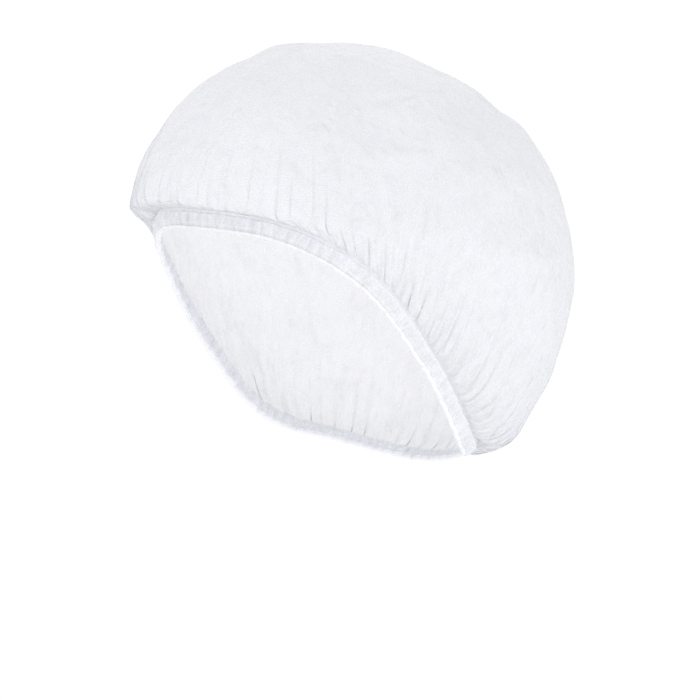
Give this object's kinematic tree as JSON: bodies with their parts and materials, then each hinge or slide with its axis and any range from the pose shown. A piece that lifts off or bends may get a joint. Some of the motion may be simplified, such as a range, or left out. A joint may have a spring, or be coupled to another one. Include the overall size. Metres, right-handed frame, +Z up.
{
  "type": "disposable hair cover cap",
  "caption": "Round bouffant hair cover of thin white nonwoven cloth, puffed at the top and back, gathered onto an elastic hem that slants from brow to nape.",
  "frame": {"origin": "middle of the head opening, level with the places where the hem passes above the ears", "axes": "+Z up as worn, the wearer faces -Y, +X towards the wearer's left"},
  "size_m": [0.2207, 0.229, 0.2143],
  "materials": {
    "nonwoven cloth": "thin see-through spunbond nonwoven, matt white",
    "hem cloth": "the same nonwoven folded double, matt white",
    "elastic thread": "white elastic thread, matt"
  },
  "bodies": {
    "root": {"crown": "nonwoven cloth", "hem_casing": "hem cloth", "elastic": "elastic thread"}
  },
  "joints": []
}
